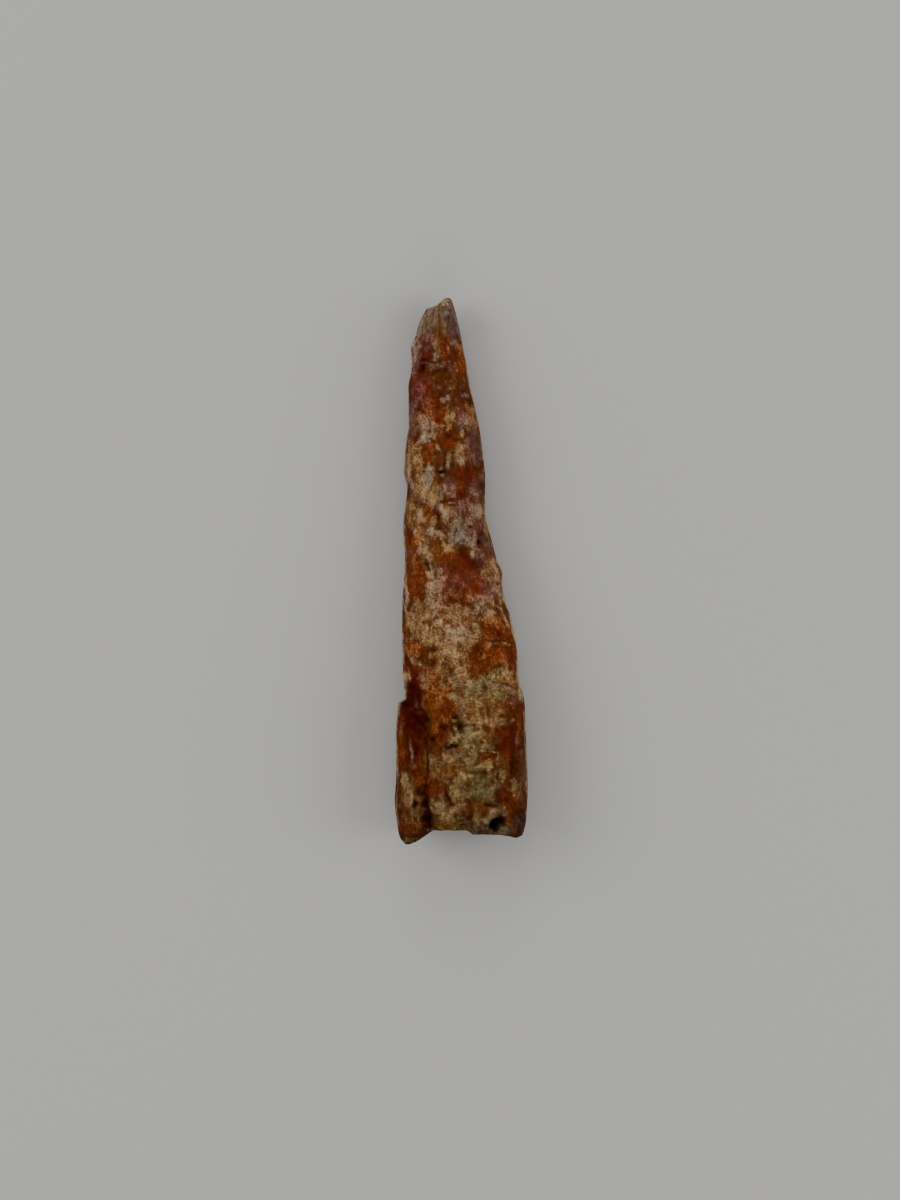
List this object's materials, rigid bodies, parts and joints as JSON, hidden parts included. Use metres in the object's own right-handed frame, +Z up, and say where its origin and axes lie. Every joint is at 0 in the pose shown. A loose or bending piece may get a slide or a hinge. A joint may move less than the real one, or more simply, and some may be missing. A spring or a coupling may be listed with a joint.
{
  "type": "fossil pterosaur tooth",
  "caption": "Slender rust-stained fossil tooth that tapers to a chipped tip, with a ledge low on one side and a hollow broken base, lying on its side.",
  "frame": {"origin": "middle of the tooth's footprint, on the surface that it lies on", "axes": "+Y along the tooth from the broken base to the tip, +X to the right when looking down with the tip away, +Z up from the surface that it lies on"},
  "size_m": [0.0092, 0.038, 0.0061],
  "materials": {
    "fossil": "fine-grained, satin, stained rust, maroon, ochre and cream"
  },
  "bodies": {
    "root": {"tooth": "fossil"}
  },
  "joints": []
}
